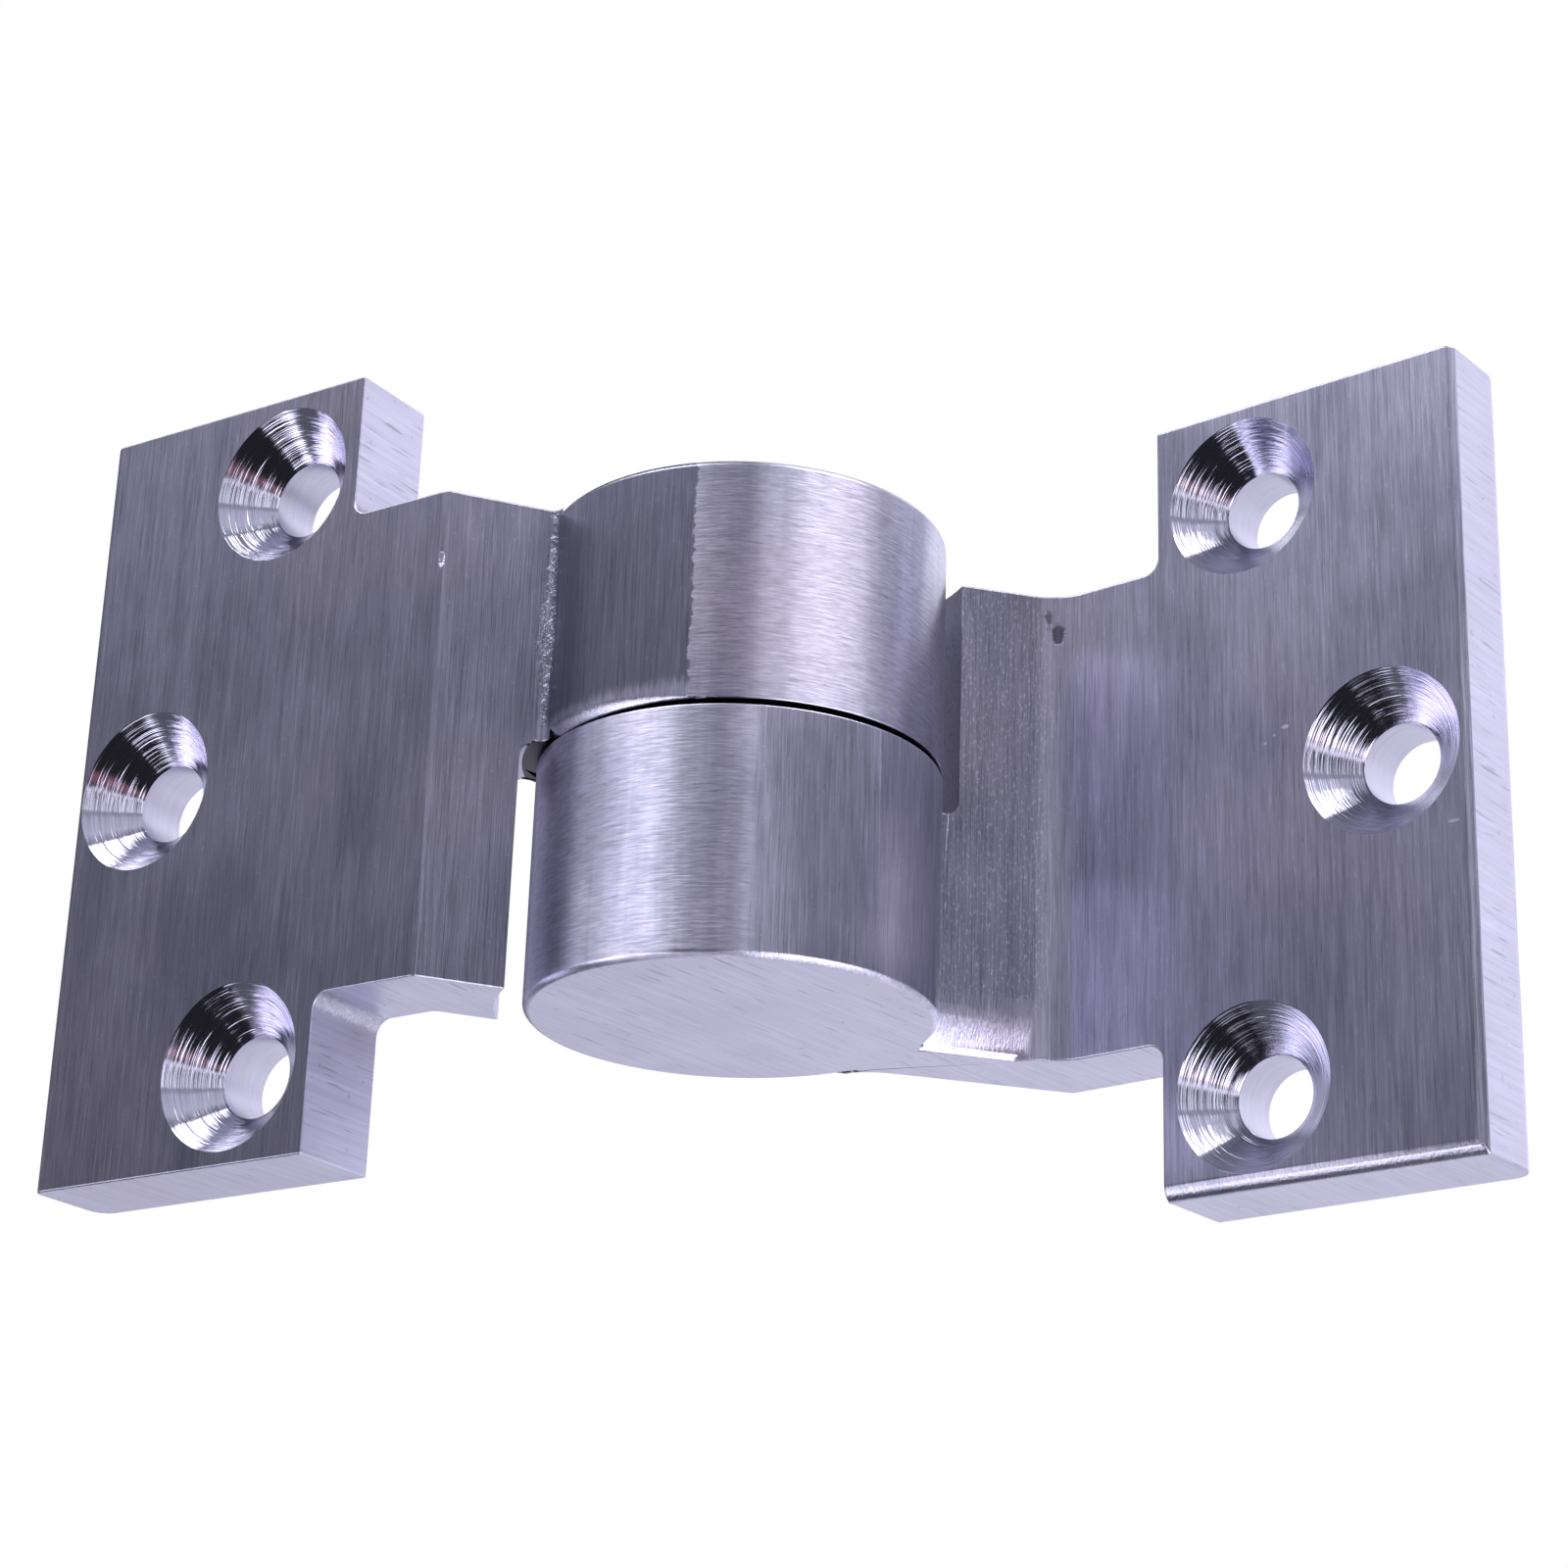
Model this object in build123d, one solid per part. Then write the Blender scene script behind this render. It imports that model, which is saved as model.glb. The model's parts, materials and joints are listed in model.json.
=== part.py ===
from build123d import *
import os
from math import cos, radians, sin, tan

# Offset pivot hinge: two thick plates, each bent into a web that carries half of one round knuckle.
# The door leaf has the upper half and turns on a pin that is pressed into the jamb leaf's lower half.
# Lengths are in millimetres and angles in degrees. +Z is the pivot axis, pointing up. The origin is
# on that axis, midway between the two halves of the knuckle. The jamb plate runs towards +X, and
# its screw face looks towards -Y. The door leaf is drawn opened through -Y.

# Plates
plate_height = 63.5
plate_thickness = 7.7
leaf_reach = 50.4          # pivot axis to the outer edge of either plate
outer_front_round = 0.8    # outer edge, screw face side
outer_back_round = 1.6     # outer edge, back side

# Bend between plate and web
bend_line = 14.6           # pivot axis to the bend line on the screw face
ear_step = 9.3             # bend line to the inner edge of the two ears
bend_angle = 54.0          # turn of the web out of the plate
web_height = 39.1
notch_fillet = 1.3         # where the ears meet the web's top and bottom
door_offset = 19.8         # pivot axis to the door leaf's screw face
closed_gap = 2.4           # between the two screw faces when the hinge is closed
jamb_bend_front = 4.5      # hollow side of the jamb leaf's bend
jamb_bend_back = 0.8
door_bend_front = 0.8
door_bend_back = 0.6       # hollow side of the door leaf's bend

# Knuckle
knuckle_diameter = 31.2
knuckle_gap = 0.4          # between the two halves
knuckle_rim_chamfer = 0.4  # outer rims only
back_blend = 6.0           # hollow blend from the knuckle to the back of the web
front_blend = 0.8          # hollow blend from the knuckle to the front of the web
door_relief = 2.0          # door web to the jamb leaf's half of the knuckle
jamb_relief = 2.6          # jamb web to the door leaf's half of the knuckle
relief_fillet = 1.0        # inner corner of both reliefs

# Edges taken back by the grinding belt: lower front edges of the jamb leaf's plate and web
plate_round_height = 1.3
plate_round_depth = 0.7
web_round_height = 4.8
web_round_depth = 1.0
web_round_start = 2.0      # bend line to where the rounding starts
web_round_rise = 1.4       # length over which it reaches its full depth
# Lower rim of the door leaf's knuckle, taken back on one side of it
rim_round_height = 1.0
rim_round_depth = 0.6
rim_round_bearing = 66.0   # deepest point, in the closed pose
rim_round_spread = 46.0    # from the deepest point to where the rim is sharp again

# Pin, bush and washer
pin_diameter = 12.7
pin_seat = 15.0            # length of the pin inside the jamb leaf
pin_reach = 14.0           # length of the pin inside the door leaf
pin_chamfer = 0.8
running_clearance = 0.03   # pin to bush, on the radius
bush_wall = 1.6
bush_chamfer = 0.4
end_clearance = 0.5        # past the pin's tip
washer_width = 3.6
washer_thickness = 1.6
washer_clearance = 0.3     # round the washer, and round the pin inside it

# Screw holes
screw_hole_diameter = 6.4
countersink_diameter = 13.15
countersink_angle = 90.0
ear_hole_inset = 7.8       # inner edge of the ears to their holes
ear_hole_height = 24.1     # plate's middle to the ears' holes
middle_hole_inset = 7.2    # outer edge to the middle hole

# Angle that the hinge is drawn at: 0 is closed, 180 is flat
drawn_opening = 174.0

# Values that follow from the sizes above
ear_edge = bend_line + ear_step
ear_width = leaf_reach - ear_edge
knuckle_radius = knuckle_diameter / 2
pin_radius = pin_diameter / 2
half_gap = knuckle_gap / 2
half_web = web_height / 2
knuckle_height = half_web - half_gap
washer_recess = washer_thickness - knuckle_gap
bush_inner_radius = pin_radius + running_clearance
bush_outer_radius = bush_inner_radius + bush_wall
washer_inner_radius = pin_radius + washer_clearance
washer_outer_radius = washer_inner_radius + washer_width
jamb_offset = door_offset + closed_gap
overrun = plate_thickness  # how far a cutting shape passes through what it cuts
standing = (Align.CENTER, Align.CENTER, Align.MIN)
hanging = (Align.CENTER, Align.CENTER, Align.MAX)


def round_corner(plan, corner, radius):
    return fillet(plan.vertices().sort_by_distance(corner)[0], radius)


def web_direction():
    """From the bend towards the knuckle, in the closed pose."""
    turn = radians(bend_angle)
    return Vector(-cos(turn), -sin(turn))


def web_plan(face_y, side, bend_front, bend_back):
    """Plate and web from above, in the closed pose. The metal lies on the given side of the face."""
    turn = radians(bend_angle)
    along_web = web_direction()
    through_web = Vector(-sin(turn), cos(turn)) * (side * plate_thickness)
    through_plate = Vector(0, side * plate_thickness)
    front = Vector(leaf_reach, face_y)
    front_bend = Vector(bend_line, face_y)
    web_end = front_bend - along_web * front_bend.dot(along_web)
    back_bend = front_bend + through_plate - Vector(tan(turn / 2) * side * plate_thickness, 0)
    corners = [front, front_bend, web_end, web_end + through_web, back_bend, front + through_plate]
    plan = make_face(Polyline(*corners, close=True))
    plan = round_corner(plan, front, outer_front_round)
    plan = round_corner(plan, front + through_plate, outer_back_round)
    plan = round_corner(plan, front_bend, bend_front)
    return round_corner(plan, back_bend, bend_back)


def knuckle_plan(web, side):
    """The web's plan joined to the knuckle's circle, with a hollow blend at each side of the web."""
    plan = web + Circle(knuckle_radius)
    turn = radians(bend_angle)
    through_web = Vector(-sin(turn), cos(turn)) * side
    on_circle = [v for v in plan.vertices() if abs(Vector(v).length - knuckle_radius) < 0.001]
    joints = sorted(on_circle, key=lambda v: Vector(v).dot(through_web))
    front, back = Vector(joints[0]), Vector(joints[-1])
    plan = round_corner(plan, front, front_blend)
    return round_corner(plan, back, back_blend)


def slab(plan, low, high):
    return Pos(0, 0, low) * extrude(plan, high - low)


def screw_hole(face_y, side, reach, height):
    """Countersunk hole through the plate, entered from the screw face."""
    cone_slope = tan(radians(countersink_angle / 2))
    cone_depth = (countersink_diameter - screw_hole_diameter) / 2 / cone_slope
    cone_height = cone_depth + overrun
    mouth_radius = screw_hole_diameter / 2 + cone_height * cone_slope
    shank_depth = plate_thickness + overrun
    cone = Cone(screw_hole_diameter / 2, mouth_radius, cone_height, align=standing)
    shank = Cylinder(screw_hole_diameter / 2, shank_depth, align=hanging)
    cone_tip = Plane((reach, face_y + side * cone_depth, height), z_dir=(0, -side, 0))
    return cone_tip * (cone + shank)


def relief(radius, low, high, inner_edge):
    """Round clearance for the other leaf's half of the knuckle, with a filleted inner corner."""
    drum = Pos(0, 0, (low + high) / 2) * Cylinder(radius, high - low)
    rims = drum.edges().filter_by(GeomType.CIRCLE).sort_by(lambda rim: abs(rim.center().Z - inner_edge))
    return fillet(rims[0], relief_fillet)


def knuckle_half(up):
    """Upper (+1) or lower (-1) half of the knuckle, with a chamfer on its outer rim."""
    half = Pos(0, 0, up * (half_gap + half_web) / 2) * Cylinder(knuckle_radius, knuckle_height)
    rims = half.edges().filter_by(GeomType.CIRCLE).sort_by(lambda rim: abs(rim.center().Z))
    return chamfer(rims[-1], knuckle_rim_chamfer)


def rim_cone():
    """What is left of the upper half when its lower rim is taken back on one side. The cone is set off
    the pivot axis, so the rest of the rim stays sharp."""
    bearing = radians(rim_round_bearing)
    shift = rim_round_depth / (1 - cos(radians(rim_round_spread)))
    low_radius = knuckle_radius - rim_round_depth + shift
    high_radius = low_radius + knuckle_height * rim_round_depth / rim_round_height
    cone = Cone(low_radius, high_radius, knuckle_height, align=standing)
    return Pos(-shift * cos(bearing), -shift * sin(bearing), half_gap) * cone


def belt_round(corner, along, length, height, depth, rise):
    """Cutter that rounds off a lower front edge, from a corner and along the edge. The curve meets the
    front face smoothly at the given height, and the lower face at the given depth. The depth grows
    over the rise at its start."""
    radius = (height ** 2 + depth ** 2) / (2 * depth)
    outline = [(0, 0), (0, overrun), (length, overrun), (length, -depth), (rise, -depth)]
    block = slab(make_face(Polyline(*outline, close=True)), -overrun, height)
    kept = Pos(0, -radius, height) * Rot(0, 90, 0) * Cylinder(radius, 2 * length)
    return Plane(corner, x_dir=along, z_dir=(0, 0, 1)) * (block - kept)


def jamb_rounds():
    """Both rounded lower front edges of the jamb leaf."""
    outer_end = Vector(leaf_reach + overrun, jamb_offset, -plate_height / 2)
    length = ear_width + 2 * overrun
    plate_round = belt_round(outer_end, (-1, 0, 0), length, plate_round_height, plate_round_depth, 0)
    along_web = web_direction()
    front_bend = Vector(bend_line, jamb_offset)
    start = front_bend + along_web * web_round_start + Vector(0, 0, -half_web)
    length = -front_bend.dot(along_web) - web_round_start
    web_round = belt_round(start, along_web, length, web_round_height, web_round_depth, web_round_rise)
    return plate_round + (web_round - Cylinder(knuckle_radius, plate_height))


def leaf(face_y, side, bend_front, bend_back, up, relief_gap, knuckle):
    """One leaf in the closed pose. up is +1 for the upper half of the knuckle and -1 for the lower."""
    web = web_plan(face_y, side, bend_front, bend_back)
    ear_area = Pos(leaf_reach, 0) * Rectangle(2 * ear_width, 4 * leaf_reach)
    other_end = -up * (half_web + overrun)
    edge = up * half_gap
    body = slab(web, -half_web, half_web)
    body -= relief(knuckle_radius + relief_gap, min(edge, other_end), max(edge, other_end), edge)
    body += slab(web & ear_area, -plate_height / 2, plate_height / 2)
    body = fillet(notch_corners(body), notch_fillet)
    low, high = sorted((up * half_gap, up * half_web))
    body += slab(knuckle_plan(web, side) - Circle(knuckle_radius), low, high)
    body += knuckle
    for reach, height in screw_places():
        body -= screw_hole(face_y, side, reach, height)
    return body


def notch_corners(body):
    """Edges where an ear's inner face meets the top or bottom of the web."""
    upright = body.edges().filter_by(Axis.Y).filter_by_position(Axis.X, ear_edge - 0.01, ear_edge + 0.01)
    return upright.filter_by_position(Axis.Z, -half_web - 0.01, half_web + 0.01)


def screw_places():
    """Distance from the pivot axis along the plate, and height, of each screw hole."""
    ear_hole_reach = ear_edge + ear_hole_inset
    return [
        (ear_hole_reach, ear_hole_height),
        (leaf_reach - middle_hole_inset, 0),
        (ear_hole_reach, -ear_hole_height),
    ]


def drill(radius, mouth, depth):
    """Cutting cylinder from a mouth at one height, upwards for a positive depth."""
    return Pos(0, 0, mouth + depth / 2) * Cylinder(radius, abs(depth))


def door_leaf():
    knuckle = knuckle_half(1) & rim_cone()
    body = leaf(door_offset, -1, door_bend_front, door_bend_back, 1, door_relief, knuckle)
    body -= drill(bush_outer_radius, half_gap, pin_reach + end_clearance)
    return Rot(0, 0, -drawn_opening) * body


def jamb_leaf():
    knuckle = knuckle_half(-1)
    body = leaf(jamb_offset, 1, jamb_bend_front, jamb_bend_back, -1, jamb_relief, knuckle) - jamb_rounds()
    body -= drill(pin_radius, -half_gap, -pin_seat)
    body -= drill(washer_outer_radius + washer_clearance, -half_gap, -washer_recess)
    return body


def pivot_pin():
    body = Pos(0, 0, (pin_reach - pin_seat) / 2) * Cylinder(pin_radius, pin_seat + pin_reach + knuckle_gap)
    return chamfer(body.edges().filter_by(GeomType.CIRCLE), pin_chamfer)


def bearing_bush():
    body = Cylinder(bush_outer_radius, pin_reach) - Cylinder(bush_inner_radius, pin_reach)
    inner = body.edges().filter_by(GeomType.CIRCLE).sort_by(SortBy.RADIUS)[:2]
    body = chamfer(inner, bush_chamfer)
    return Pos(0, 0, half_gap + pin_reach / 2) * body


def thrust_washer():
    body = Cylinder(washer_outer_radius, washer_thickness) - Cylinder(washer_inner_radius, washer_thickness)
    return Pos(0, 0, half_gap - washer_thickness / 2) * body


parts = {
    "door_leaf": door_leaf(),
    "jamb_leaf": jamb_leaf(),
    "pivot_pin": pivot_pin(),
    "bearing_bush": bearing_bush(),
    "thrust_washer": thrust_washer(),
}
os.makedirs("parts", exist_ok=True)
for node, solid in parts.items():
    export_step(solid, f"parts/{node}.step")
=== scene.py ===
import json
import math

import bmesh
import bpy
import numpy as np
from mathutils import Matrix, Vector


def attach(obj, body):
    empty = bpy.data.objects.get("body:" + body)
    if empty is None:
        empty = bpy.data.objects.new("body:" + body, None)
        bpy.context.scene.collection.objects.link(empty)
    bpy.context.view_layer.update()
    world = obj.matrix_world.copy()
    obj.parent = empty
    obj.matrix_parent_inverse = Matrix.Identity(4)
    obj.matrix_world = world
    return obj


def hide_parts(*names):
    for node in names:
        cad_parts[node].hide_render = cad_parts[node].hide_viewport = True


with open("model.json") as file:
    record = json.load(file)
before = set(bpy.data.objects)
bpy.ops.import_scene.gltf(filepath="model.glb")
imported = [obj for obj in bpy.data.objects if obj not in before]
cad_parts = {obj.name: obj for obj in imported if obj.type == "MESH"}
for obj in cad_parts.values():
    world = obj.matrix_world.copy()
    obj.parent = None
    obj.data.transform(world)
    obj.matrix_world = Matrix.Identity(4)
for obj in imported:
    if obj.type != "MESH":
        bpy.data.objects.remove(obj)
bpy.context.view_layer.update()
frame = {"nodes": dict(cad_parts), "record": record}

bl_info = {
    "name": "Offset Pivot Hinge",
    "version": (1, 0, 0),
    "blender": (4, 5, 0),
    "location": "3D View > Sidebar > Hinge",
    "description": "Dresses the two leaves of an offset pivot hinge in belt-brushed steel",
    "category": "Object",
}

MM = 0.001

# Camera of the photograph, in metres: it looks up at the hinge from below its right-hand side.
EYE = Vector((0.158393, -0.188641, -0.095548))
TARGET = Vector((0.002926, 0.001824, -0.000555))
ROLL = 0.03335
LENS = 78.897
SENSOR_WIDTH = 36.0

MERGE_DISTANCE = 0.03 * MM
FLAT_ANGLE = math.radians(0.2)  # faces that meet more flatly than this become one
SHARP_ANGLE = math.radians(40)
SLIVER_AREA = 0.2 * MM ** 2  # a face smaller than this gets no broken edge

# Sizes on the hinge, in millimetres.
KNUCKLE_RADIUS = 15.6
RELIEF_REACH = 3.0  # the relief round the knuckle lies within this of it
GAP_REACH = 1.0  # level faces within this height of the middle lie in the knuckle's gap
COUNTERSINK_RADIUS = 6.575
HOLE_MARGIN = 0.3  # a hole's own edges lie within this of its countersink

# Finishes of a leaf's faces, in the order of its materials.
BELT, GROUND, COUNTERSINK, BORE, GAP = range(5)

# Lengths of the grains in the brush lines, in millimetres along X, Y and Z.
UPRIGHT_LINES = (0.17, 0.17, 8.0)
UPRIGHT_HAIR = (0.11, 0.11, 3.5)
GLINTS = (0.14, 0.14, 1.2)
SPECKS = (0.3, 0.3, 0.4)
STREAKS = (1.6, 1.6, 26.0)
RIM_HIGHLIGHT_STREAKS = (0.35, 0.35, 3.0)
WEB_GLINT_FLECKS = (0.2, 0.2, 0.42)
ROUND_LINES = (2.0, 2.0, 0.2)
ROUND_HAIR = (0.9, 0.9, 0.11)

# Heights over the hinge's middle, in millimetres, between which a mark starts or ends.
# The rim's heights bound a painted highlight.
RIM_HIGHLIGHT_START = (0.0, 0.3)
RIM_HIGHLIGHT_END = (1.1, 2.1)
# Where the painted shade on the knuckle starts.
KNUCKLE_SHADE_START = (1.0, 2.4)
SEAM_START = (0.8, 2.0)
# Where the painted shade and glints on the web start.
WEB_SHADE_AND_GLINTS_START = (-16.6, -14.2)
SEAM_HALF_WIDTH = (0.1, 0.7)

# Marks on belt-brushed faces: centre and half sizes in millimetres, depth in millimetres, and how
# much lighter it is. They don't show on the knuckle's round lines.
DOOR_MARKS = [
    # The nick is lightened: a painted highlight on its edge.
    ((-12.6, -21.2, 13.8), (0.3, 0.6, 0.9), 0.06, 0.5),  # nick beside the bend
]
JAMB_MARKS = [
    # The dent is darkened with painted shade in its hollows, and the speck under it is a painted
    # highlight.
    ((14.1, 22.0, 17.5), (0.35, 1.5, 1.1), 0.02, -0.55),  # dent in the bend, of two hollows
    ((14.7, 22.0, 16.2), (0.5, 1.5, 1.3), 0.02, -0.65),
    ((13.7, 22.0, 14.3), (0.35, 1.0, 0.3), 0.05, 0.6),  # bright speck under it
    ((33.4, 22.2, 2.7), (0.22, 0.4, 0.16), 0.0, 1.2),  # ticks beside the middle hole
    ((34.2, 22.2, 3.2), (0.2, 0.4, 0.14), 0.0, 1.2),
    ((35.2, 22.2, 3.7), (0.4, 0.4, 0.2), 0.0, 1.2),
    ((49.0, 22.2, -6.8), (0.5, 0.4, 0.14), 0.0, 1.2),  # tick near the outer edge
    # The pinhole is darkened with painted shade inside it.
    ((23.5, 22.2, -20.2), (0.2, 0.4, 0.2), 0.15, -0.8),  # pinhole
]

BRASS_COLOUR = (0.62, 0.45, 0.22)

# Soft boxes, in metres and degrees.
BOX_ELEVATION = 62.0
BOX_DISTANCE = 0.8
BOX_HEIGHT = 0.4

# The studio in degrees: bearing from the camera, positive to its right, and elevation. Each part
# has its bearings and its elevations, as two limits and how soft they are.
HIGH_UP = (33.0, 58.0, 2.0)
LEFT_LIGHT = ((-84.0, -44.0, 3.0), HIGH_UP)
RIGHT_LIGHT = ((34.0, 82.0, 4.0), HIGH_UP)
SHOULDER_LIGHT = ((10.0, 26.0, 3.0), HIGH_UP)
WINDOW = ((8.0, 16.5, 1.5), (1.0, 26.0, 1.5))
LEFT_SHEET = ((-84.0, -42.0, 3.0), (-60.0, -20.0, 3.0))
RIGHT_SHEET = ((19.0, 80.0, 3.0), (-72.0, -9.0, 3.0))
LOW_LEFT_WALL = ((-160.0, -88.0, 4.0), (-72.0, -12.0, 3.0))
PERSON = ((-40.0, 16.0, 2.0), (-70.0, 0.0, 2.0))
PERSON_LOW_LEFT = ((-92.0, -36.0, 4.0), (-72.0, -43.0, 2.0))
SLEEVE = (-14.0, -4.0, 2.5)

# Where other parts of the studio start or end, in degrees: elevations, unless a line says bearing.
CEILING_START = (52.0, 66.0)
TABLE_END = (-2.0, 5.0)
GROUND_END = (-74.0, -60.0)
BACKDROP_START = (88.0, 100.0)  # bearing, to either side
BACKDROP_END = (38.0, 56.0)
FAR_LEFT_END = (-100.0, -92.0)  # bearing
FAR_LEFT_START = (-14.0, -6.0)

WALL_RISE = (0.08, 0.9)  # sines of the elevations between which the room gets lighter
SHOULDER_SHARE = 0.5  # brightness of the light over the shoulder, as a share of the window's
RIGHT_SHEET_SHARE = 1.25  # brightness of the right sheet, as a share of the left one's
GROUND_SHARE = 0.75  # brightness straight below, as a share of the table's behind the hinge
TINT_LEVELS = (0.5, 1.0)  # brightness between which the dim tint gives way to the bright one
DIM_TINT = (0.87, 0.865, 1.07, 1.0)
BRIGHT_TINT = (0.935, 0.92, 1.06, 1.0)
CLOTHES_COLOUR = (0.02, 0.02, 0.025, 1.0)
SLEEVE_COLOUR = (0.24, 0.12, 0.15, 1.0)
WHITE = (1.0, 1.0, 1.0, 1.0)


class Wire:
    """One output socket of a node tree. Arithmetic on wires and numbers adds Math nodes."""

    def __init__(self, graph, socket):
        self.graph = graph
        self.socket = socket

    def math(self, operation, *values):
        inputs = dict(enumerate(values))
        return self.graph.add("ShaderNodeMath", {"operation": operation}, inputs)

    def __add__(self, other):
        return self.math("ADD", self, other)

    def __radd__(self, other):
        return self.math("ADD", other, self)

    def __sub__(self, other):
        return self.math("SUBTRACT", self, other)

    def __rsub__(self, other):
        return self.math("SUBTRACT", other, self)

    def __mul__(self, other):
        return self.math("MULTIPLY", self, other)

    def __rmul__(self, other):
        return self.math("MULTIPLY", other, self)

    def __truediv__(self, other):
        return self.math("DIVIDE", self, other)

    def __rtruediv__(self, other):
        return self.math("DIVIDE", other, self)

    def root(self):
        return self.math("SQRT", self)

    def size(self):
        return self.math("ABSOLUTE", self)

    def larger(self, other):
        return self.math("MAXIMUM", self, other)

    def swing(self, amount):
        """What a noise with values near 0.5 adds to a number: half the amount where it is 1."""
        return (self - 0.5) * amount


class Graph:
    """A node tree, filled through one method."""

    def __init__(self, tree):
        self.tree = tree
        tree.nodes.clear()

    def add(self, kind, settings=None, inputs=None, output=0):
        """Adds a node of a type, its settings first and then its inputs, and gives one output."""
        node = self.tree.nodes.new(kind)
        for name, value in (settings or {}).items():
            setattr(node, name, value)
        for key, value in (inputs or {}).items():
            socket = node.inputs[key]
            if isinstance(value, Wire):
                self.tree.links.new(value.socket, socket)
            else:
                socket.default_value = value
        return Wire(self, node.outputs[output]) if node.outputs else node

    def split(self, vector):
        """The three numbers of a vector."""
        first = self.add("ShaderNodeSeparateXYZ", {}, {0: vector})
        return [Wire(self, socket) for socket in first.socket.node.outputs]

    def vector(self, x, y, z):
        return self.add("ShaderNodeCombineXYZ", {}, {0: x, 1: y, 2: z})

    def stretch(self, vector, factors):
        return self.add("ShaderNodeVectorMath", {"operation": "MULTIPLY"}, {0: vector, 1: factors})

    def step(self, value, low, high):
        """0 below low and 1 above high, with a smooth rise between them."""
        inputs = {0: value, 1: low, 2: high}
        return self.add("ShaderNodeMapRange", {"interpolation_type": "SMOOTHSTEP"}, inputs)

    def noise(self, vector, detail=2.0, roughness=0.5):
        inputs = {"Vector": vector, "Scale": 1.0, "Detail": detail, "Roughness": roughness}
        return self.add("ShaderNodeTexNoise", {}, inputs)

    def grains(self, place, scale, detail=2.0, roughness=0.5):
        """Noise over a place. Its grains are finer along an axis where the scale is larger."""
        return self.noise(self.stretch(place, scale), detail, roughness)

    def mix(self, factor, first, second):
        """Colour between two colours."""
        return self.add("ShaderNodeMix", {"data_type": "RGBA"}, {0: factor, 6: first, 7: second}, 2)

    def shade(self, colour, factor):
        """A colour made lighter or darker by a number."""
        if not isinstance(colour, Wire):
            colour = tuple(colour)[:3]
        inputs = {0: colour, "Scale": factor}
        return self.add("ShaderNodeVectorMath", {"operation": "SCALE"}, inputs)


def new_material(name):
    material = bpy.data.materials.new(name)
    material.use_nodes = True
    return material, Graph(material.node_tree)


def metal(graph, colour, roughness, height, grain=0.0, turn=0.0):
    """Metal of a colour and roughness, with a height in millimetres. Grain is how strongly the
    brush lines draw out the reflections: level with a turn of 0, upright with a turn of 0.25."""
    normal = graph.add("ShaderNodeBump", {}, {"Strength": 1.0, "Distance": MM, "Height": height})
    inputs = {"Base Color": colour, "Metallic": 1.0, "Roughness": roughness, "Normal": normal,
              "Anisotropic": grain, "Anisotropic Rotation": turn}
    return graph.add("ShaderNodeBsdfPrincipled", {}, inputs)


def finish(graph, surface):
    graph.add("ShaderNodeOutputMaterial", {}, {"Surface": surface})


def finish_metal(graph, colour, roughness, height):
    finish(graph, metal(graph, colour, roughness, height))


def placed_material(name):
    """A new material, its graph and the place in millimetres."""
    material, graph = new_material(name)
    place = graph.add("ShaderNodeTexCoord", {}, {}, "Object")
    return material, graph, graph.stretch(place, (1 / MM,) * 3)


class SteelSettings(bpy.types.PropertyGroup):
    light_colour: bpy.props.FloatVectorProperty(
        name="Steel", description="Colour of the ground faces", subtype="COLOR", size=4,
        default=(0.59, 0.575, 0.685, 1.0))
    dark_colour: bpy.props.FloatVectorProperty(
        name="Dark steel", description="Colour in the dark patches of the belt-brushed faces",
        subtype="COLOR", size=4, default=(0.445, 0.44, 0.535, 1.0))
    warm_colour: bpy.props.FloatVectorProperty(
        name="Warm steel", description="Colour of the faint warm patches", subtype="COLOR", size=4,
        default=(0.61, 0.56, 0.645, 1.0))
    machined_colour: bpy.props.FloatVectorProperty(
        name="Machined steel", description="Colour of the countersinks and bores", subtype="COLOR",
        size=4, default=(0.68, 0.665, 0.78, 1.0))
    line_depth: bpy.props.FloatProperty(
        name="Line depth", description="Depth of the brush lines, in millimetres", default=0.02,
        min=0.0, max=0.2)
    grain: bpy.props.FloatProperty(
        name="Grain", description="How far the brush lines draw out the reflections", default=0.75,
        min=0.0, max=1.0, subtype="FACTOR")
    belt_roughness: bpy.props.FloatProperty(
        name="Belt roughness", description="Roughness of plates and webs", default=0.30, min=0.0,
        max=1.0, subtype="FACTOR")
    turned_roughness: bpy.props.FloatProperty(
        name="Turned roughness", description="Roughness of the knuckle's round lines", default=0.36,
        min=0.0, max=1.0, subtype="FACTOR")
    edge_break: bpy.props.FloatProperty(
        name="Edge break", description="Width of the broken edges", default=0.16 * MM, min=0.0,
        unit="LENGTH")


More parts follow.
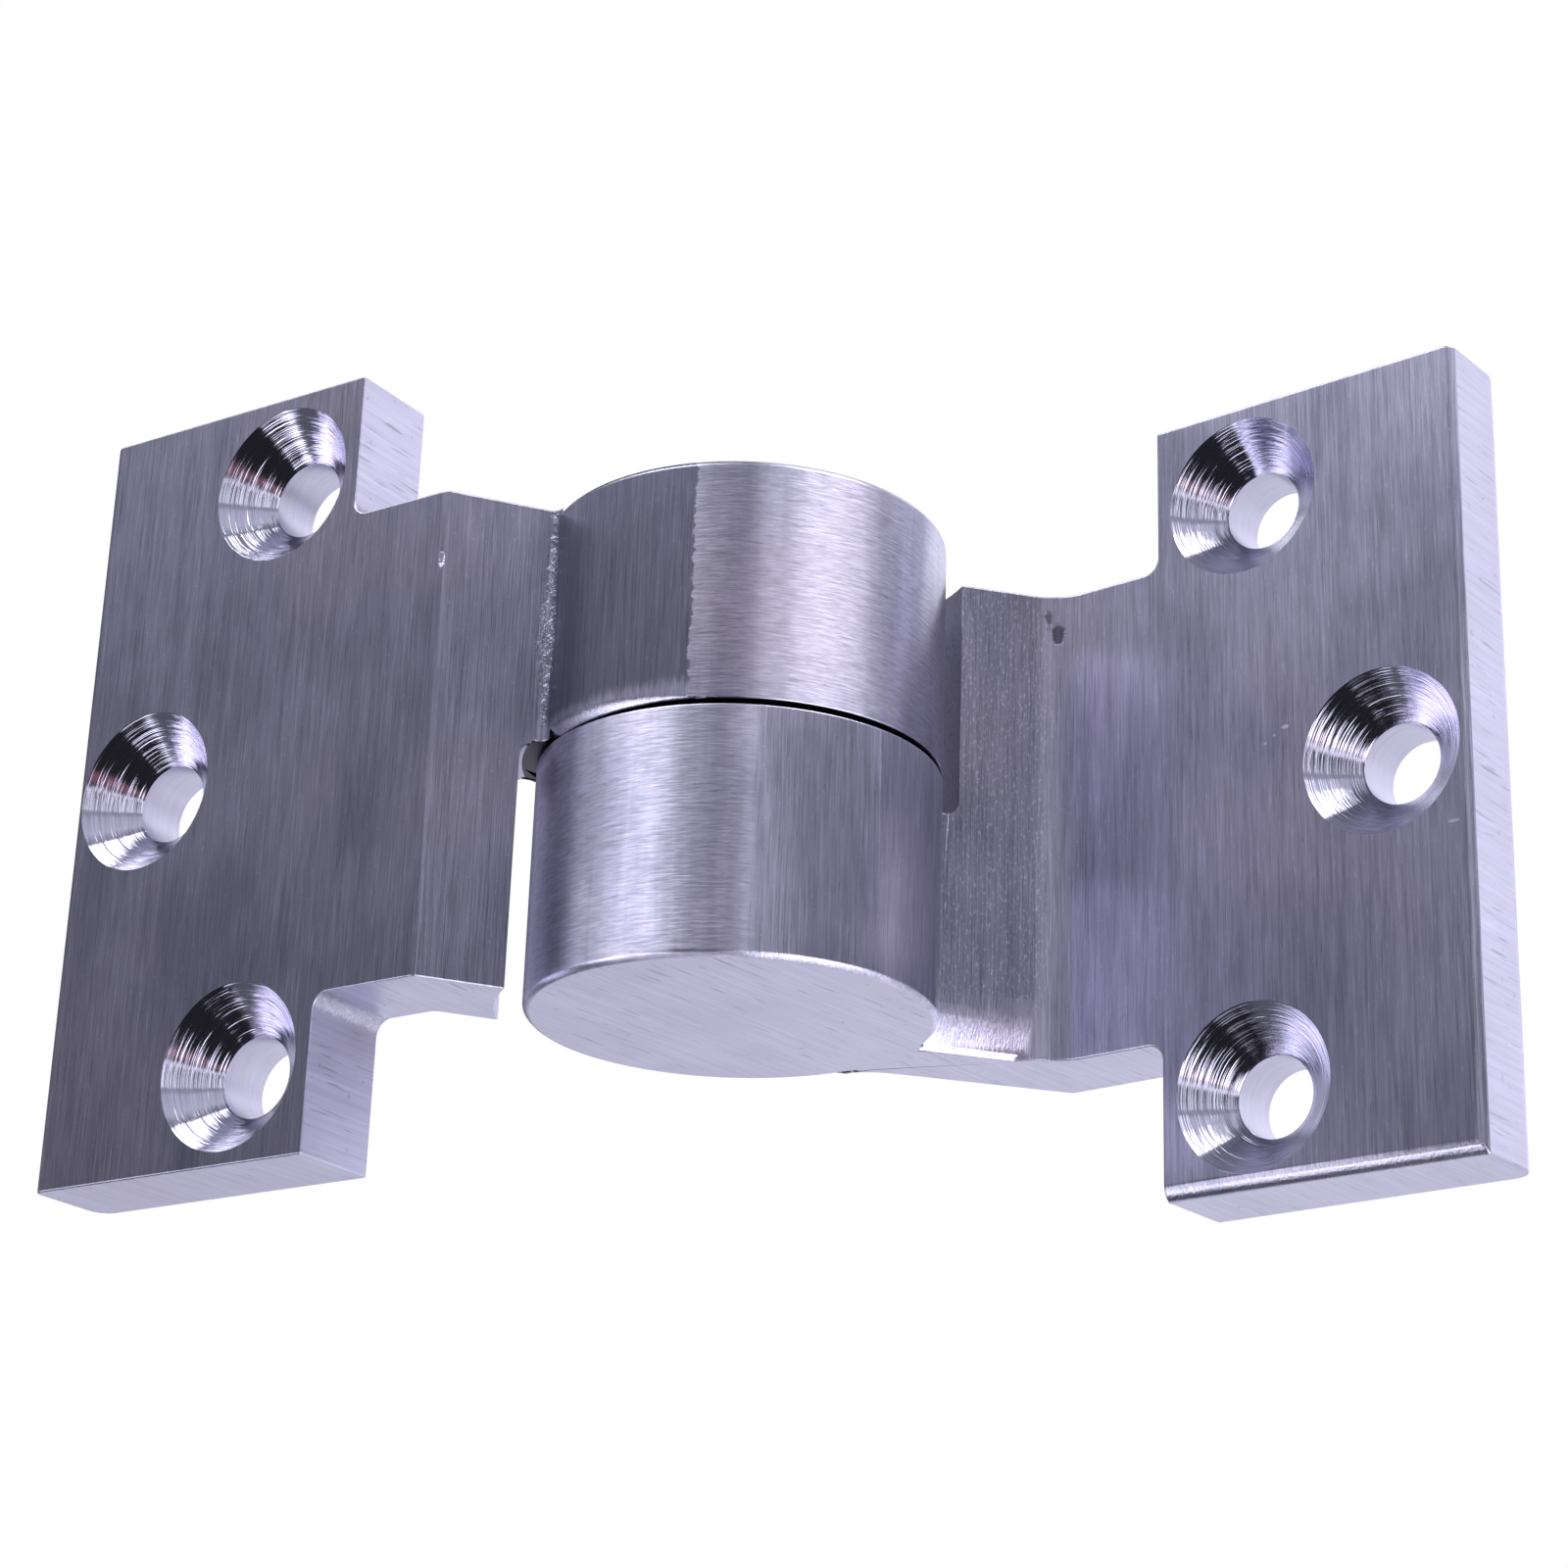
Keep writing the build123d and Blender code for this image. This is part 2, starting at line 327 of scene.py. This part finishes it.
class StageSettings(bpy.types.PropertyGroup):
    floor_height: bpy.props.FloatProperty(
        name="Floor height", description="Height of the floor", default=-0.34, unit="LENGTH")
    floor_colour: bpy.props.FloatVectorProperty(
        name="Floor", description="Colour of the floor", subtype="COLOR", size=4,
        default=(0.86, 0.86, 0.88, 1.0))
    dark_level: bpy.props.FloatProperty(
        name="Dark side", description="Brightness of the room behind the camera, low down",
        default=0.05, min=0.0)
    high_level: bpy.props.FloatProperty(
        name="High wall", description="Brightness high up behind the camera", default=0.8, min=0.0)
    ceiling_level: bpy.props.FloatProperty(
        name="Overhead", description="Brightness straight above the hinge", default=0.3, min=0.0)
    table_level: bpy.props.FloatProperty(
        name="Table", description="Brightness of the table in front of the hinge", default=1.5,
        min=0.0)
    window_level: bpy.props.FloatProperty(
        name="Window", description="Brightness of the window behind the camera", default=1.5,
        min=0.0)
    high_light_level: bpy.props.FloatProperty(
        name="High lights", description="Brightness of the lights high up to the left and right",
        default=3.1, min=0.0)
    far_left_level: bpy.props.FloatProperty(
        name="Far left", description="Brightness of the dim wall to the far left", default=0.15,
        min=0.0)
    back_level: bpy.props.FloatProperty(
        name="Backdrop", description="Brightness behind the hinge", default=1.5, min=0.0)
    ground_level: bpy.props.FloatProperty(
        name="Ground behind", description="Brightness of the table behind the hinge", default=1.1,
        min=0.0)
    lamp_power: bpy.props.FloatProperty(
        name="Soft boxes", description="Power of each soft box", default=2.2, min=0.0, unit="POWER")


def drawn_noise(graph, place, widths, detail=2.5):
    """Noise whose grains have the given sizes, in millimetres, along X, Y and Z."""
    return graph.grains(place, tuple(1 / width for width in widths), detail, 0.6)


def pit(graph, place, centre, reach, ragged):
    """1 inside a ragged hollow with the given half sizes, and 0 outside it."""
    offset = graph.add("ShaderNodeMapping", {"vector_type": "POINT"}, {
        "Vector": place, "Location": tuple(-c / r for c, r in zip(centre, reach)),
        "Scale": tuple(1 / r for r in reach)})
    length = graph.add("ShaderNodeVectorMath", {"operation": "LENGTH"}, {0: offset}, "Value")
    return 1 - graph.step(length + ragged * 1.6, 0.55, 1.0)


def belt_material(name, settings, painted_leaf_shading, painted_knuckle_shade, painted_rim_highlight, belt_side, border, seam, web_shade_and_glints_end, marks):
    """Belt-brushed steel: upright lines on plate and web, and on the knuckle's side next to the
    web. The rest of the knuckle is brushed round it, up to a ragged border. belt_side is the
    direction of the middle of the knuckle's upright lines, and border is how far from it, in
    degrees, they give way to the round ones: where that starts and where it ends. seam is the plan
    of the rough line beside the web, or None. tone is painted light or shade over the whole leaf,
    making it lighter or darker. stain is painted shade that darkens the knuckle's upright lines
    above its rim, and shine is a painted highlight that brightens that rim.
    web_shade_and_glints_end is the X where the web with painted shade and painted glints ends, or
    None. marks are single nicks, dents and ticks, some darkened with painted shade or lightened
    with a painted highlight."""
    material, graph, place = placed_material(name)
    x, y, z = graph.split(place)
    radius = (x * x + y * y).root()
    facing = (x * belt_side.x + y * belt_side.y) / radius
    ragged = graph.grains(place, (0.35, 0.35, 1.1), 4.0, 0.7) - 0.5
    knuckle = 1 - graph.step(radius, KNUCKLE_RADIUS + 0.1, KNUCKLE_RADIUS + 0.5)
    inner, outer = (math.cos(math.radians(angle)) for angle in border)
    turned = knuckle * (1 - graph.step(facing + ragged * 0.05, outer, inner))
    depth = settings.line_depth

    upright = drawn_noise(graph, place, UPRIGHT_LINES)
    hair = drawn_noise(graph, place, UPRIGHT_HAIR)
    glint = graph.step(drawn_noise(graph, place, GLINTS, 1.5), 0.62, 0.74)
    cloud = graph.grains(place, (0.11, 0.11, 0.07), 3.0, 0.55)
    streak = drawn_noise(graph, place, STREAKS, 3.0)
    speck = graph.step(drawn_noise(graph, place, SPECKS, 1.0), 0.69, 0.75)
    warm = graph.step(graph.grains(place, (0.06, 0.06, 0.05)), 0.46, 0.66)

    tint = graph.mix(graph.step(cloud * 0.6 + streak * 0.4, 0.38, 0.6),
                     tuple(settings.dark_colour), tuple(settings.light_colour))
    # Painted light or shade over the whole leaf: it is made lighter or darker.
    tint = graph.shade(graph.mix(warm * 0.5, tint, tuple(settings.warm_colour)), painted_leaf_shading)
    # Painted shade: the knuckle's upright lines are darkened above its rim.
    knuckle_shade_colour = tuple(0.72 * value for value in settings.dark_colour)
    knuckle_shaded = graph.mix(knuckle * painted_knuckle_shade * graph.step(z, *KNUCKLE_SHADE_START), tint, knuckle_shade_colour)
    lines = upright.swing(0.8) + hair.swing(0.8) + speck * 0.2 + glint * 0.2
    colour = graph.shade(knuckle_shaded, 0.92 + lines)
    # Painted highlight: a bright band on the knuckle's rim, from the middle up to a ragged,
    # streaked edge.
    if painted_rim_highlight > 0:
        ragged_height = z + drawn_noise(graph, place, RIM_HIGHLIGHT_STREAKS, 3.0).swing(3.0)
        rim = knuckle * (1 - graph.step(ragged_height, *RIM_HIGHLIGHT_END)) * graph.step(z, *RIM_HIGHLIGHT_START)
        colour = graph.shade(colour, 1 + rim * painted_rim_highlight)
    # Painted shade darkens the jamb's web, and the light flecks on it are painted glints.
    if web_shade_and_glints_end is not None:
        web = (1 - knuckle) * (1 - graph.step(x, web_shade_and_glints_end - 0.9, web_shade_and_glints_end + 0.5))
        web = web * graph.step(z, *WEB_SHADE_AND_GLINTS_START)
        painted_glint_flecks = graph.step(drawn_noise(graph, place, WEB_GLINT_FLECKS, 2.0), 0.52, 0.72)
        colour = graph.shade(colour, 1 + web * (painted_glint_flecks * 0.45 - 0.3))
    roughness = settings.belt_roughness + cloud.swing(0.08) + hair.swing(0.1)
    height = upright * (depth * 1.5) + hair * (depth * 0.8)
    if seam is not None:
        across = ((x - seam.x) * (x - seam.x) + (y - seam.y) * (y - seam.y)).root()
        wander = graph.grains(place, (0.1, 0.1, 0.4), 3.0).swing(2.6)
        rough = 1 - graph.step((across + wander).size(), *SEAM_HALF_WIDTH)
        rough = rough * graph.step(z, *SEAM_START)
        pits = graph.grains(place, (1.5, 1.5, 1.0), 3.0, 0.7)
        height = height + rough * pits.swing(0.3)
        colour = graph.shade(colour, 1 - rough * pits.swing(1.8))
        roughness = roughness + rough * 0.1
    for centre, reach, deep, lighter in marks:
        inside = pit(graph, place, centre, reach, ragged)
        height = height - inside * deep
        colour = graph.shade(colour, 1 + inside * lighter)
    belt = metal(graph, colour, roughness, height, settings.grain, 0.0)

    round_lines = drawn_noise(graph, place, ROUND_LINES)
    round_hair = drawn_noise(graph, place, ROUND_HAIR)
    colour = graph.shade(tint, 1.2 + round_lines.swing(0.9) + round_hair.swing(0.9))
    roughness = settings.turned_roughness + round_lines.swing(0.12)
    height = round_lines * (depth * 1.2) + round_hair * (depth * 0.4)
    around = metal(graph, colour, roughness, height, settings.grain, 0.25)
    both = graph.add("ShaderNodeMixShader", {}, {0: turned, 1: belt, 2: around})
    finish(graph, both)
    return material


def ground_material(name, settings, turn):
    """Surface-ground steel: fine straight lines across the thickness of the plate, pale and even.
    Turn is the angle from Y to that thickness."""
    material, graph, place = placed_material(name)
    turned = graph.add("ShaderNodeMapping", {"vector_type": "POINT"}, {
        "Vector": place, "Rotation": (0.0, 0.0, turn)})
    lines = graph.grains(turned, (2.6, 0.07, 2.6), 3.0, 0.65)
    fine = graph.grains(turned, (9.0, 0.3, 9.0), 2.0, 0.6)
    cloud = graph.grains(place, (0.12, 0.12, 0.12))
    speck = graph.step(graph.grains(place, (1.6, 1.6, 1.6), 1.0), 0.72, 0.78)
    scratch = graph.step(graph.grains(turned, (4.0, 0.22, 4.0), 1.0), 0.66, 0.74)
    brightness = 0.95 + lines.swing(0.6) + cloud.swing(0.2) - (speck * 0.2 + scratch * 0.3)
    colour = graph.shade(settings.light_colour, brightness)
    finish_metal(graph, colour, 0.4 + lines.swing(0.15), lines * 0.012 + fine * 0.004)
    return material


def gap_material(name, settings):
    """Faces in the knuckle's gap: dull, and dark with painted shade between the two knuckles."""
    material, graph, place = placed_material(name)
    lines = graph.grains(place, (0.3, 3.0, 0.3), 3.0, 0.6)
    cloud = graph.grains(place, (0.5, 0.5, 0.5))
    # Painted shade: a fifth of the dark steel colour.
    gap_shade_colour = tuple(0.2 * value for value in settings.dark_colour)
    colour = graph.shade(gap_shade_colour, 0.9 + lines.swing(0.6) + cloud.swing(0.4))
    finish_metal(graph, colour, 0.5 + lines.swing(0.2), lines * 0.02)
    return material


def turned_material(name, settings, outward):
    """Countersinks: rings left by the tool. A ring is a line of one depth under the screw face."""
    material, graph, place = placed_material(name)
    level = graph.add("ShaderNodeVectorMath", {"operation": "DOT_PRODUCT"}, {0: place, 1: outward},
                      "Value")
    wobble = graph.grains(place, (0.22, 0.22, 0.22), 1.0)
    rings = graph.noise(graph.vector(level * 2.6, wobble * 0.7, 0.0), 3.0, 0.75)
    fine = graph.noise(graph.vector(level * 13.0, wobble, 0.0), 2.0, 0.6)
    colour = graph.shade(settings.machined_colour, 0.94 + rings.swing(0.35) + fine.swing(0.2))
    finish_metal(graph, colour, 0.1 + rings.swing(0.1), rings * 0.055 + fine * 0.01)
    return material


def bore_material(name, settings):
    """Drilled holes: smooth and pale, with faint rings."""
    material, graph, place = placed_material(name)
    rings = graph.grains(place, (0.3, 3.0, 0.3))
    colour = graph.shade(settings.machined_colour, 0.8 + rings.swing(0.25))
    finish_metal(graph, colour, 0.34 + rings.swing(0.1), rings * 0.01)
    return material


def brass_material(name):
    """Machined brass: rings round the pivot axis."""
    material, graph, place = placed_material(name)
    rings = graph.grains(place, (0.4, 0.4, 6.0))
    colour = graph.shade(BRASS_COLOUR, 0.95 + rings.swing(0.3))
    finish_metal(graph, colour, 0.3 + rings.swing(0.2), rings * 0.01)
    return material


def read_vectors(items, name):
    values = np.empty(len(items) * 3)
    items.foreach_get(name, values)
    return values.reshape(-1, 3)


def merged_copy(node, name, prefix):
    """Copy of a CAD node's mesh with its loose triangles joined and its flat faces made whole. Its
    sharp edges are marked for the bevel, apart from those of the screw holes, which stay sharp."""
    mesh = frame["nodes"][node].data.copy()
    mesh.name = name
    work = bmesh.new()
    work.from_mesh(mesh)
    bmesh.ops.remove_doubles(work, verts=work.verts, dist=MERGE_DISTANCE)
    bmesh.ops.dissolve_limit(work, angle_limit=FLAT_ANGLE, verts=work.verts, edges=work.edges)
    weight = work.edges.layers.float.new("bevel_weight_edge")
    holes = screw_places(prefix)
    for edge in work.edges:
        if edge.calc_face_angle() < SHARP_ANGLE:
            continue
        middle = np.array((edge.verts[0].co + edge.verts[1].co) / 2) / MM
        reach = min(np.linalg.norm(np.cross(middle - centre, axis)) for centre, axis in holes)
        smallest = min(face.calc_area() for face in edge.link_faces)
        if reach < COUNTERSINK_RADIUS + HOLE_MARGIN:
            edge.smooth = False
        elif smallest > SLIVER_AREA:
            edge[weight] = 1.0
    work.to_mesh(mesh)
    work.free()
    mesh.materials.clear()
    return mesh


def screw_places(prefix):
    """Centre and outward axis of each of a leaf's screw holes, from the record's mounts."""
    mounts = [m for m in frame["record"]["mounts"] if m["name"].startswith(prefix + "_screw")]
    return [(np.array(m["pos_m"]) / MM, np.array(m["axis"])) for m in mounts]


def sort_faces(mesh, prefix):
    """The finish of each face, from where it lies and which way it faces."""
    centres = read_vectors(mesh.polygons, "center") / MM
    normals = read_vectors(mesh.polygons, "normal")
    holes = screw_places(prefix)
    outward = holes[0][1]
    sideways = np.cross(outward, (0, 0, 1))
    plan = centres * (1, 1, 0)
    radius = np.linalg.norm(plan, axis=1)
    to_axis = -np.einsum("ij,ij->i", normals, plan) / np.maximum(radius, 0.001)
    level = abs(normals[:, 2]) > 0.99
    near_knuckle = radius < KNUCKLE_RADIUS + RELIEF_REACH
    kinds = np.full(len(centres), BELT)
    kinds[level] = GROUND
    kinds[(abs(normals @ sideways) > 0.99) & ~near_knuckle] = GROUND
    kinds[(to_axis > 0.9) & near_knuckle] = GROUND
    kinds[level & (abs(centres[:, 2]) < GAP_REACH)] = GAP
    for centre, axis in holes:
        offset = centres - centre
        across = np.linalg.norm(offset - np.outer(offset @ axis, axis), axis=1)
        slope = normals @ axis
        near = across < COUNTERSINK_RADIUS
        kinds[near & (abs(slope - math.sqrt(0.5)) < 0.1)] = COUNTERSINK
        kinds[near & (abs(slope) < 0.1)] = BORE
    return kinds


def dress_leaf(node, name, body, prefix, settings, turn, belt):
    """A leaf's visible piece: a copy of its CAD mesh with broken edges and a finish for each face.
    Belt holds what belt_material needs for this leaf."""
    mesh = merged_copy(node, name, prefix)
    outward = Vector(screw_places(prefix)[0][1])
    mesh.materials.append(belt_material(name + "_belt", settings, **belt))
    mesh.materials.append(ground_material(name + "_ground", settings, turn))
    mesh.materials.append(turned_material(name + "_countersink", settings, outward))
    mesh.materials.append(bore_material(name + "_bore", settings))
    mesh.materials.append(gap_material(name + "_gap", settings))
    mesh.polygons.foreach_set("material_index", sort_faces(mesh, prefix).astype(np.int32))
    mesh.polygons.foreach_set("use_smooth", np.ones(len(mesh.polygons), bool))
    piece = bpy.data.objects.new(name, mesh)
    bpy.context.scene.collection.objects.link(piece)
    edge = piece.modifiers.new("Broken edges", "BEVEL")
    edge.width = settings.edge_break
    edge.segments = 2
    edge.limit_method = "WEIGHT"
    edge.use_clamp_overlap = False
    edge.material = -1
    flat = piece.modifiers.new("Flat faces", "WEIGHTED_NORMAL")
    flat.keep_sharp = True
    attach(piece, body)
    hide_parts(node)


def plan_direction(bearing):
    return Vector((math.cos(math.radians(bearing)), math.sin(math.radians(bearing)), 0.0))


class HINGE_OT_door_leaf(bpy.types.Operator):
    """Dress the door leaf, with the rough line where its web meets the knuckle"""
    bl_idname = "hinge.door_leaf"
    bl_label = "Door leaf"

    def execute(self, context):
        # Painted shade darkens the whole door leaf and its knuckle's upright lines; its rim gets a
        # painted highlight.
        belt = {"painted_leaf_shading": 0.82, "painted_knuckle_shade": 0.8, "painted_rim_highlight": 0.7, "belt_side": plan_direction(-96.0),
                "border": (30.8, 31.4), "seam": plan_direction(-120.6) * 15.9, "web_shade_and_glints_end": None,
                "marks": DOOR_MARKS}
        settings = context.scene.hinge_steel
        turn = math.radians(-6.0)
        dress_leaf("door_leaf", "Door_leaf_steel", "door", "door", settings, turn, belt)
        return {"FINISHED"}


class HINGE_OT_jamb_leaf(bpy.types.Operator):
    """Dress the jamb leaf, with painted shade and painted glints on its web, and its small marks"""
    bl_idname = "hinge.jamb_leaf"
    bl_label = "Jamb leaf"

    def execute(self, context):
        # Painted light brightens the whole jamb leaf; its web gets painted shade and painted
        # glints.
        belt = {"painted_leaf_shading": 1.12, "painted_knuckle_shade": 0.35, "painted_rim_highlight": 0.0, "belt_side": plan_direction(-10.5),
                "border": (33.0, 38.0), "seam": None, "web_shade_and_glints_end": 14.2, "marks": JAMB_MARKS}
        settings = context.scene.hinge_steel
        dress_leaf("jamb_leaf", "Jamb_leaf_steel", "jamb", "jamb", settings, 0.0, belt)
        return {"FINISHED"}


class HINGE_OT_bearing(bpy.types.Operator):
    """Give the pin, the bush and the washer their finishes"""
    bl_idname = "hinge.bearing"
    bl_label = "Pin, bush and washer"

    def execute(self, context):
        settings = context.scene.hinge_steel
        pin = ground_material("Pin_ground", settings, 0.0)
        brass = brass_material("Bush_brass")
        finishes = {"pivot_pin": pin, "bearing_bush": brass, "thrust_washer": brass}
        for node, material in finishes.items():
            for slot in frame["nodes"][node].material_slots:
                slot.material = material
        return {"FINISHED"}


def add_floor(settings):
    """Pale floor well below the hinge."""
    half_side = 3.0
    signs = ((-1, -1), (1, -1), (1, 1), (-1, 1))
    corners = [(half_side * x, half_side * y, settings.floor_height) for x, y in signs]
    mesh = bpy.data.meshes.new("Floor")
    mesh.from_pydata(corners, [], [(0, 1, 2, 3)])
    material, graph = new_material("Floor_pale")
    inputs = {"Base Color": tuple(settings.floor_colour), "Roughness": 0.6}
    finish(graph, graph.add("ShaderNodeBsdfPrincipled", {}, inputs))
    mesh.materials.append(material)
    floor = bpy.data.objects.new("Floor", mesh)
    floor.visible_glossy = False  # the steel mirrors the studio's own table instead
    bpy.context.scene.collection.objects.link(floor)


def add_soft_box(name, bearing, width, power):
    """Area light on a sphere round the hinge, facing its middle. Its bearing is from X."""
    lamp = bpy.data.lights.new(name, "AREA")
    lamp.shape = "RECTANGLE"
    lamp.size = width
    lamp.size_y = BOX_HEIGHT
    lamp.energy = power
    rise = math.radians(BOX_ELEVATION)
    away = plan_direction(bearing) * math.cos(rise) + Vector((0, 0, math.sin(rise)))
    box = bpy.data.objects.new(name, lamp)
    box.location = away * BOX_DISTANCE
    box.rotation_euler = (-away).to_track_quat("-Z", "Y").to_euler()
    bpy.context.scene.collection.objects.link(box)


def between(graph, value, low, high, soft):
    """1 where a value lies between two limits, with soft ends."""
    past = graph.step(value, high - soft, high + soft)
    return graph.step(value, low - soft, low + soft) * (1 - past)


def blend(first, second, factor):
    """A number between two numbers."""
    return first + (second - first) * factor


def add_world(settings):
    """The studio that the steel mirrors. Behind the hinge are a white backdrop and its table. The
    room behind the camera is dim and gets lighter with height, up to a grey ceiling. In it are a
    high light on each side and a weaker one over the camera's shoulder, a narrow window, two bright
    sheets on the table, a dim wall to the far left, and below the camera the dark shape of the
    photographer, with a reddish sleeve. Straight below it is duller. What the camera sees directly
    is white."""
    world = bpy.data.worlds.new("Studio")
    bpy.context.scene.world = world
    world.use_nodes = True
    graph = Graph(world.node_tree)
    x, y, z = graph.split(graph.add("ShaderNodeTexCoord", {}, {}, "Generated"))
    back = Vector((TARGET.x - EYE.x, TARGET.y - EYE.y, 0.0)).normalized()
    ahead = x * -back.x + y * -back.y
    aside = x * back.y - y * back.x
    bearing = ahead.math("ARCTAN2", aside, ahead) * math.degrees(1)
    elevation = z.math("ARCSINE", z) * math.degrees(1)

    def area(bearings, elevations):
        """1 inside a part of the studio, and 0 outside it."""
        return between(graph, bearing, *bearings) * between(graph, elevation, *elevations)

    rise = graph.add("ShaderNodeMapRange", {}, {
        0: z, 1: WALL_RISE[0], 2: WALL_RISE[1], 3: settings.dark_level, 4: settings.high_level})
    level = blend(rise, settings.ceiling_level, graph.step(elevation, *CEILING_START))
    level = blend(level, settings.window_level * SHOULDER_SHARE, area(*SHOULDER_LIGHT))
    level = blend(level, settings.high_light_level, area(*LEFT_LIGHT) + area(*RIGHT_LIGHT))
    level = blend(level, settings.window_level, area(*WINDOW))
    table = 1 - graph.step(elevation, *TABLE_END)
    level = blend(level, settings.table_level, table)
    sheets = area(*LEFT_SHEET) + area(*RIGHT_SHEET) * RIGHT_SHEET_SHARE
    level = level + sheets * settings.table_level
    behind = graph.step(bearing.size(), *BACKDROP_START)
    behind = behind * (1 - graph.step(elevation, *BACKDROP_END))
    level = blend(level, blend(settings.back_level, settings.ground_level, table), behind)
    far_left = (1 - graph.step(bearing, *FAR_LEFT_END)) * graph.step(elevation, *FAR_LEFT_START)
    level = blend(level, settings.far_left_level, far_left.larger(area(*LOW_LEFT_WALL)))
    below = 1 - graph.step(elevation, *GROUND_END)
    level = blend(level, settings.ground_level * GROUND_SHARE, below)

    tint = graph.mix(graph.step(level, *TINT_LEVELS), DIM_TINT, BRIGHT_TINT)
    sleeve = between(graph, elevation, *SLEEVE)
    clothes = graph.mix(sleeve, CLOTHES_COLOUR, SLEEVE_COLOUR)
    person = area(*PERSON).larger(area(*PERSON_LOW_LEFT))
    colour = graph.mix(person, graph.shade(tint, level), clothes)
    seen = graph.add("ShaderNodeLightPath", {}, {}, "Is Camera Ray")
    colour = graph.mix(seen, colour, WHITE)
    light = graph.add("ShaderNodeBackground", {}, {"Color": colour, "Strength": 1.0})
    graph.add("ShaderNodeOutputWorld", {}, {"Surface": light})


def add_camera():
    """The camera that took the photograph."""
    forward = (TARGET - EYE).normalized()
    right = forward.cross(Vector((0, 0, 1))).normalized()
    up = right.cross(forward)
    rolled_right = right * math.cos(ROLL) + up * math.sin(ROLL)
    rolled_up = up * math.cos(ROLL) - right * math.sin(ROLL)
    lens = bpy.data.cameras.new("Camera")
    lens.lens = LENS
    lens.sensor_width = SENSOR_WIDTH
    lens.clip_start = 0.01
    camera = bpy.data.objects.new("Camera", lens)
    turn = Matrix((rolled_right, rolled_up, -forward)).transposed().to_4x4()
    camera.matrix_world = Matrix.Translation(EYE) @ turn
    bpy.context.scene.collection.objects.link(camera)
    bpy.context.scene.camera = camera


class HINGE_OT_stage(bpy.types.Operator):
    """Add the camera, the floor and the studio light"""
    bl_idname = "hinge.stage"
    bl_label = "Stage"

    def execute(self, context):
        settings = context.scene.hinge_stage
        context.scene.view_settings.view_transform = "Standard"
        add_camera()
        add_floor(settings)
        add_world(settings)
        add_soft_box("Soft_box_left", -119.0, 0.55, settings.lamp_power)
        add_soft_box("Soft_box_right", 8.0, 0.5, settings.lamp_power)
        return {"FINISHED"}


class HINGE_PT_panel(bpy.types.Panel):
    bl_label = "Offset pivot hinge"
    bl_space_type = "VIEW_3D"
    bl_region_type = "UI"
    bl_category = "Hinge"

    def draw(self, context):
        for operator in OPERATORS:
            self.layout.operator(operator.bl_idname)
        for settings in (context.scene.hinge_steel, context.scene.hinge_stage):
            for name in settings.__annotations__:
                self.layout.prop(settings, name)


OPERATORS = (HINGE_OT_stage, HINGE_OT_door_leaf, HINGE_OT_jamb_leaf, HINGE_OT_bearing)
CLASSES = (SteelSettings, StageSettings, *OPERATORS, HINGE_PT_panel)


def register():
    for kind in CLASSES:
        bpy.utils.register_class(kind)
    bpy.types.Scene.hinge_steel = bpy.props.PointerProperty(type=SteelSettings)
    bpy.types.Scene.hinge_stage = bpy.props.PointerProperty(type=StageSettings)


def unregister():
    del bpy.types.Scene.hinge_steel
    del bpy.types.Scene.hinge_stage
    for kind in reversed(CLASSES):
        bpy.utils.unregister_class(kind)


def main():
    register()
    bpy.ops.hinge.stage()
    bpy.ops.hinge.door_leaf()
    bpy.ops.hinge.jamb_leaf()
    bpy.ops.hinge.bearing()


if __name__ == "__main__":
    main()
